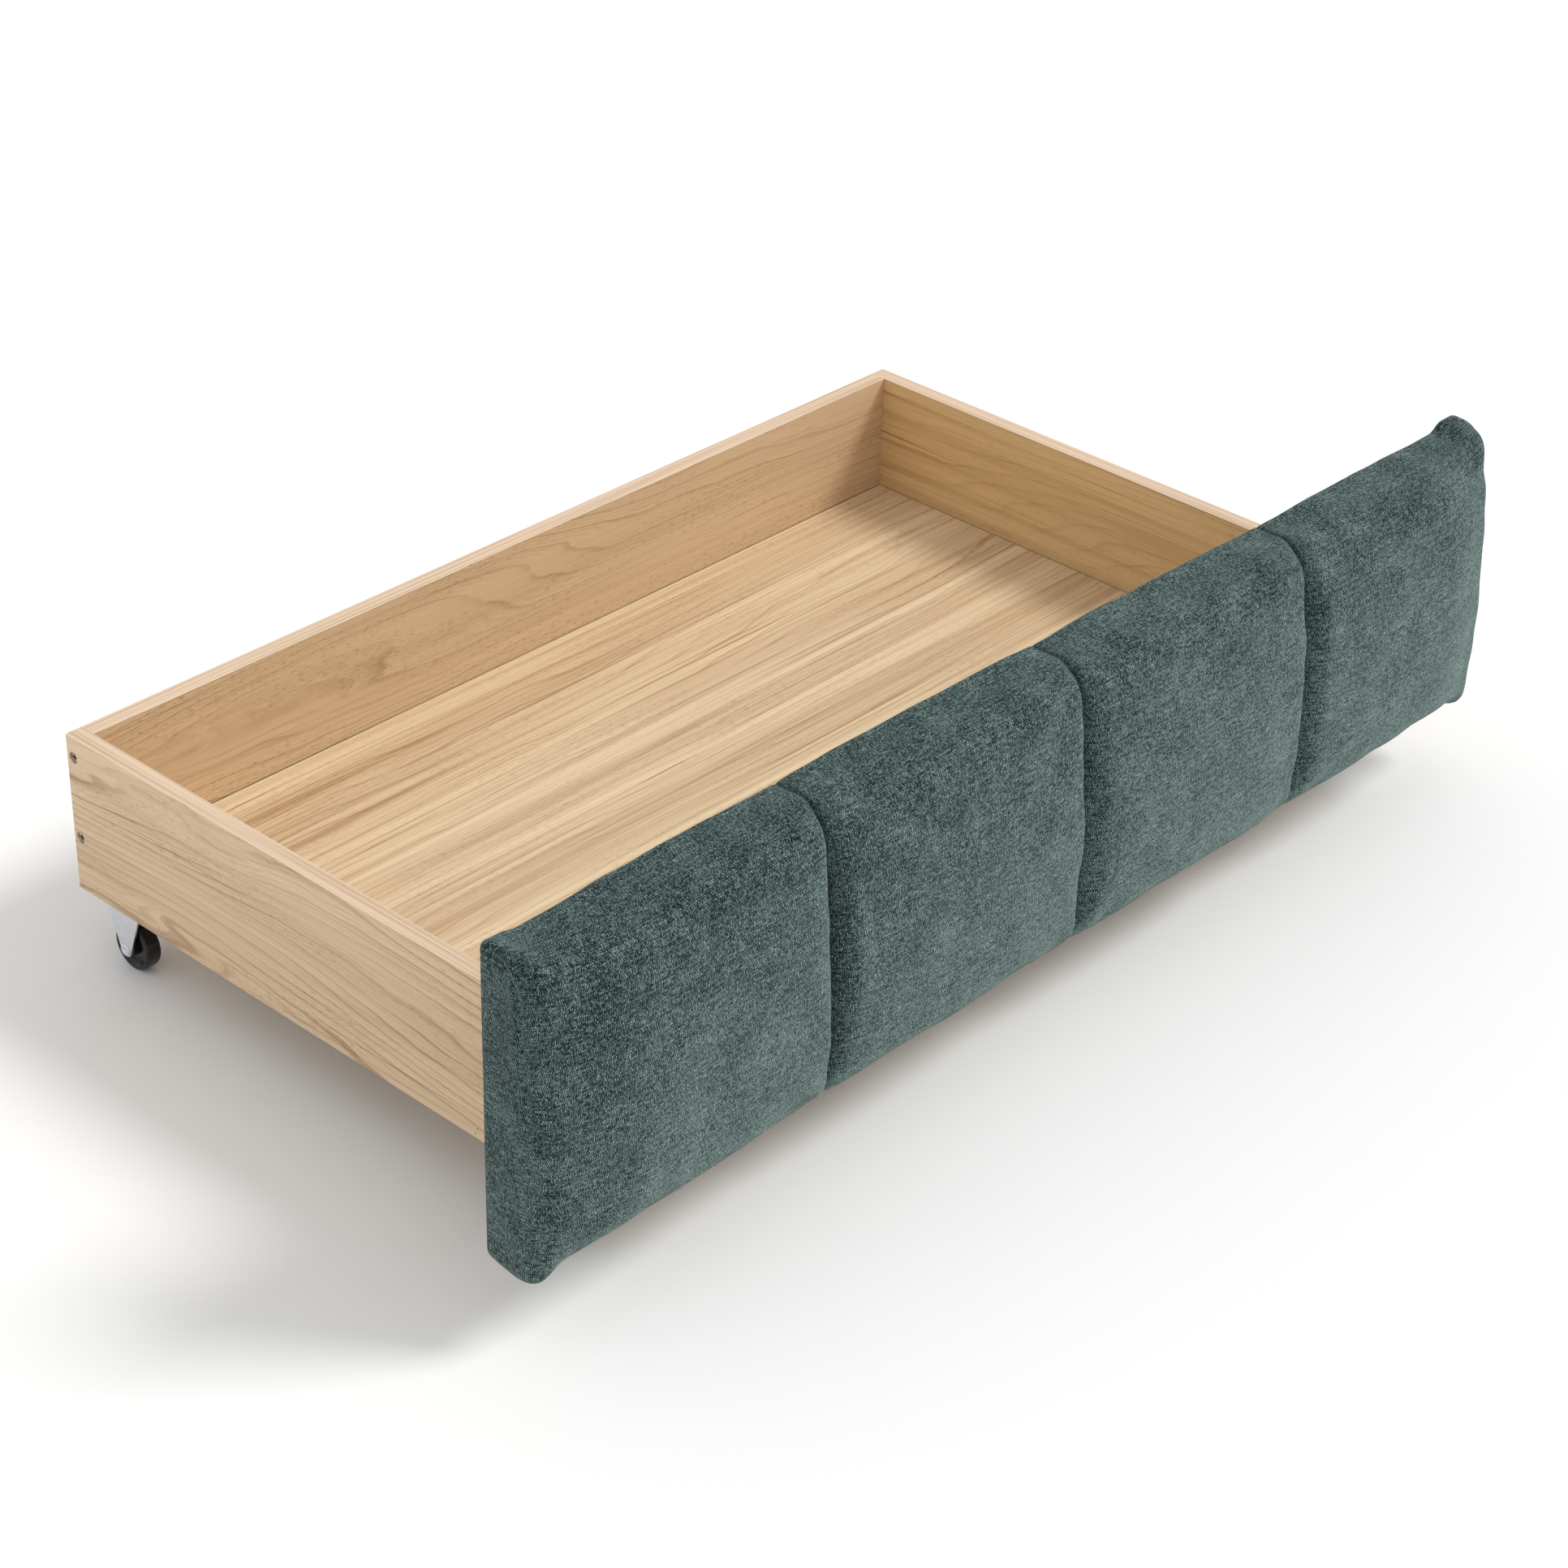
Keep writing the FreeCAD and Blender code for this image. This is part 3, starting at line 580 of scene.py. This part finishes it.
def shape_corners(q, at, low, high):
    """Raises an ear at each top corner, with a hollow beside it, and tucks in the lower ones."""
    right = q[:, 0] > (low[0] + high[0]) / 2
    ear = 1.0 - smooth((at.to_end - EAR_LENGTH) / EAR_FADE)
    ear *= smooth((0.058 - at.depth) / 0.046)
    hollow = smooth(at.to_end / CORNER_REACH) * (1.0 - smooth((at.to_end - 0.05) / 0.10))
    height = np.where(right, EAR_HEIGHTS[1], EAR_HEIGHTS[0])
    q[:, 2] += at.top * (height * ear - HOLLOW * hollow * at.outside)
    upper = smooth((q[:, 2] - high[2] + 0.08) / 0.07)
    pulled = (1.0 - smooth(at.depth / 0.05)) * (1.0 - smooth(at.to_end / 0.08))
    q[:, 0] -= right * PULL * upper * pulled
    gather = np.clip(1.0 - at.depth / 0.034, 0.0, 1.0)
    q[:, 2] += at.foot * (TUCK[0] * gather - TUCK[1]) * np.exp(-(at.to_end / 0.018) ** 2)


def crease_end(q, at, low, high):
    """A fold that leaves the ear, turns the top corner and runs down each end's front edge."""
    fold = high[1] - low[1] - 0.010
    turn_end = CREASE_TURN + 0.002
    below = high[2] - q[:, 2]
    round_corner = np.hypot(np.maximum(at.depth - fold + CREASE_TURN, 0.0),
                            np.maximum(turn_end - below, 0.0)) - CREASE_TURN
    straight = np.where(below > turn_end, at.depth - fold, round_corner)
    fade = 1.0 - smooth((below - 0.06) / 0.12) * 0.75
    fade *= smooth((at.depth - 0.010) / 0.010)
    fade *= 1.0 - smooth(at.to_end / 0.012)
    groove = np.exp(-(straight / CREASE_WIDTH) ** 2) * fade
    side = np.where(q[:, 0] < (low[0] + high[0]) / 2, 1.0, -1.0)
    q[:, 0] += side * CREASE_DEPTH * groove


def cloth_lengths(flat, shaped, xs, zs, low):
    """Length of cloth along the front at mid-height, and up the middle of a channel."""
    front = np.abs(flat[:, 1] - low[1]) < 1e-6
    lengths = []
    for axis, values, line in ((0, xs, zs[len(zs) // 2]), (2, zs, xs[COLUMNS // 2])):
        on_line = front & (np.abs(flat[:, 2 - axis] - line) < 1e-6)
        path = shaped[on_line][np.argsort(flat[on_line][:, axis])]
        steps = np.linalg.norm(np.diff(path, axis=0), axis=1)
        lengths.append(values[0] + np.concatenate([[0.0], np.cumsum(steps)]))
    return lengths


def upholstery_mesh(low, high):
    """The whole cover as one closed skin, with its fabric laid out flat in the UV map."""
    columns = np.concatenate([[0.0]] + [(clustered(COLUMNS, 0.78)[1:] + i) / CHANNELS
                                        for i in range(CHANNELS)])
    span = high - low
    xs = low[0] + span[0] * columns
    ys = low[1] + span[1] * clustered(LAYERS, 0.3)
    zs = low[2] + span[2] * clustered(ROWS, 0.5)
    flat, faces, sides = box_lattice(xs, ys, zs)
    shaped = crowned(flat, low, high)
    mesh = bpy.data.meshes.new("front_upholstery")
    mesh.from_pydata(shaped.tolist(), [], faces)
    along, up = cloth_lengths(flat, shaped, xs, zs, low)
    layer = mesh.uv_layers.new(name="UVMap")
    for face, (axis, far) in zip(mesh.polygons, sides):
        for loop in face.loop_indices:
            x, y, z = flat[mesh.loops[loop].vertex_index]
            depth, x, z = y - low[1], np.interp(x, xs, along), np.interp(z, zs, up)
            if axis == 0:
                place = (x + depth, z) if far else (x - depth, z)
            elif axis == 1:
                place = (x, z + 1.0) if far else (x, z)
            else:
                place = (x, z + depth) if far else (x, z - depth)
            layer.data[loop].uv = place
    mesh.shade_smooth()
    return mesh, flat


def evened(mesh, values, passes):
    """Each vertex's values averaged with its neighbours', a number of times."""
    ends = np.array([edge.vertices[:] for edge in mesh.edges])
    count = np.bincount(ends.ravel(), minlength=len(values))[:, None]
    for _ in range(passes):
        total = np.zeros_like(values)
        for axis in range(3):
            total[:, axis] = (np.bincount(ends[:, 0], values[ends[:, 1], axis], len(values))
                              + np.bincount(ends[:, 1], values[ends[:, 0], axis], len(values)))
        values = 0.5 * values + 0.5 * total / count
    return values


def settle(piece, flat, low, high):
    """Inflates the cover as cloth held along its seams and its back, and keeps what it moved.

    The movement is evened over neighbouring points and capped, so the seams stay straight.
    """
    rest = np.array([v.co for v in piece.data.vertices])
    width = (high[0] - low[0]) / CHANNELS
    along = (flat[:, 0] - low[0]) / width
    on_seam = np.abs(along - np.clip(np.round(along), 1, CHANNELS - 1)) * width < 1e-4
    behind = flat[:, 1] > high[1] - HELD_DEPTH
    held = piece.vertex_groups.new(name="held")
    held.add([int(i) for i in np.flatnonzero(on_seam | behind)], 1.0, "REPLACE")

    cloth = piece.modifiers.new("cloth", "CLOTH")
    settings = cloth.settings
    settings.quality = 5
    settings.mass = 0.3
    settings.tension_stiffness = 12
    settings.compression_stiffness = 12
    settings.shear_stiffness = 6
    settings.bending_stiffness = 0.4
    settings.vertex_group_mass = "held"
    settings.pin_stiffness = 1.0
    settings.shrink_min = -0.012
    settings.use_pressure = True
    settings.uniform_pressure_force = CLOTH_PRESSURE
    settings.effector_weights.gravity = 0.0
    scene = bpy.context.scene
    cloth.point_cache.frame_start = 1
    cloth.point_cache.frame_end = CLOTH_FRAMES
    for number in range(1, CLOTH_FRAMES + 1):
        scene.frame_set(number)
    depsgraph = bpy.context.evaluated_depsgraph_get()
    puffed = np.array([v.co for v in piece.evaluated_get(depsgraph).data.vertices])
    piece.modifiers.remove(cloth)
    scene.frame_set(1)
    moved = evened(piece.data, puffed - rest, passes=10)
    distance = np.linalg.norm(moved, axis=1, keepdims=True)
    moved *= CLOTH_CAP * np.tanh(distance / CLOTH_CAP) / np.maximum(distance, 1e-9)
    piece.data.vertices.foreach_set("co", (rest + moved).ravel())
    piece.data.update()
    print("cloth moved up to %.1f mm, mean %.2f mm" % (1000 * distance.max(),
                                                       1000 * distance.mean()))


def upholstered_front():
    low, high = (np.array(corner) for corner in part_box("front_cover"))
    low[1] = high[1] - EDGE_THICKNESS
    low[0], high[0] = low[0] + STAND_BACK, high[0] - STAND_BACK
    low[2], high[2] = low[2] + STAND_BACK, high[2] - STAND_BACK
    mesh, flat = upholstery_mesh(low, high)
    piece = bpy.data.objects.new("front_upholstery", mesh)
    bpy.context.scene.collection.objects.link(piece)
    settle(piece, flat, low, high)
    smoother = piece.modifiers.new("smoother", "SUBSURF")
    smoother.levels = smoother.render_levels = 1
    mesh.materials.append(chenille("chenille"))
    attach(piece, "root")
    pads = ["foam_pad_%d" % (i + 1) for i in range(CHANNELS)]
    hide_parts("front_cover", "edge_wadding", *pads)


def dust_cover():
    """Backing cloth stapled over the back of the front, slack where no panel presses on it."""
    low, high = (np.array(corner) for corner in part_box("dust_cover"))
    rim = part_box("back_panel")[1].z
    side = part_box("right_side_panel")[1].x
    xs = np.linspace(low[0], high[0], 181)
    zs = np.linspace(low[2], high[2], 41)
    grid = np.array([(x, high[1], z) for z in zs for x in xs])
    # 1 where the cloth is in the open, 0 where the box presses it against the board
    clear = np.maximum(smooth((np.abs(grid[:, 0]) - side) / 0.02),
                       smooth((grid[:, 2] - rim) / 0.02))
    edge = np.minimum.reduce([grid[:, 0] - low[0], high[0] - grid[:, 0],
                              grid[:, 2] - low[2], high[2] - grid[:, 2]])
    slack = smooth((edge - STAPLE_LINE) / 0.03) * clear
    wavy = np.clip(0.55 + 0.45 * lumps(grid, SEED + 5, 0.10), 0.1, 1.0)
    grid[:, 1] += SLACK * slack * wavy
    count = len(xs)
    faces = [(r * count + c, r * count + c + 1, (r + 1) * count + c + 1, (r + 1) * count + c)
             for r in range(len(zs) - 1) for c in range(count - 1)]
    mesh = bpy.data.meshes.new("backing_cloth")
    mesh.from_pydata(grid.tolist(), [], [f[::-1] for f in faces])
    mesh.shade_smooth()
    piece = bpy.data.objects.new("backing_cloth", mesh)
    bpy.context.scene.collection.objects.link(piece)
    thick = piece.modifiers.new("thickness", "SOLIDIFY")
    thick.thickness = high[1] - low[1]
    thick.offset = -1.0
    mesh.materials.append(backing_cloth("black_cloth"))
    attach(piece, "root")
    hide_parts("dust_cover")


# ---------------------------------------------------------------- studio

def studio():
    """A pale floor, a pale sky all round, and one broad sun."""
    floor = bpy.data.meshes.new("studio_floor")
    corners = [(-1, -1), (1, -1), (1, 1), (-1, 1)]
    floor.from_pydata([(x * FLOOR_REACH, y * FLOOR_REACH, 0) for x, y in corners], [],
                      [(0, 1, 2, 3)])
    ground = bpy.data.objects.new("studio_floor", floor)
    bpy.context.scene.collection.objects.link(ground)
    g = Graph("pale_floor")
    haze = g.noise(g.coordinates.outputs["Object"], 0.7, 2.0)
    tint = g.mix(haze, (0.945, 0.945, 0.94), (0.955, 0.955, 0.95))
    floor.materials.append(g.surface(Base_Color=tint, Roughness=0.75, Specular_IOR_Level=0.2))

    world = bpy.data.worlds.new("studio")
    world.use_nodes = True
    sky = world.node_tree.nodes["Background"]
    sky.inputs["Color"].default_value = (0.98, 0.99, 1.0, 1.0)
    sky.inputs["Strength"].default_value = SKY_STRENGTH
    bpy.context.scene.world = world
    light = bpy.data.lights.new("key", "SUN")
    light.energy = KEY_STRENGTH
    light.angle = math.radians(KEY_SPREAD)
    light.color = (1.0, 0.985, 0.96)
    key = bpy.data.objects.new("key", light)
    key.rotation_euler = Vector(KEY_FROM).to_track_quat("Z", "Y").to_euler()
    bpy.context.scene.collection.objects.link(key)


def camera():
    a, e, roll = (math.radians(x) for x in (CAMERA_AZIMUTH, CAMERA_ELEVATION, CAMERA_ROLL))
    back = Vector((math.sin(a) * math.cos(e), -math.cos(a) * math.cos(e), math.sin(e)))
    right = (-back).cross(Vector((0, 0, 1))).normalized()
    up = right.cross(-back)
    tilted_right = math.cos(roll) * right + math.sin(roll) * up
    tilted_up = math.cos(roll) * up - math.sin(roll) * right
    turn = Matrix((tilted_right, tilted_up, back)).transposed()
    data = bpy.data.cameras.new("camera")
    data.lens = CAMERA_LENS
    data.sensor_width = 36.0
    data.clip_end = 100.0
    view = bpy.data.objects.new("camera", data)
    view.matrix_world = Matrix.Translation(CAMERA_AIM + back * CAMERA_DISTANCE) @ turn.to_4x4()
    bpy.context.scene.collection.objects.link(view)
    bpy.context.scene.camera = view


bpy.context.scene.view_settings.view_transform = "Standard"
camera()
studio()
paint_nodes()
upholstered_front()
dust_cover()
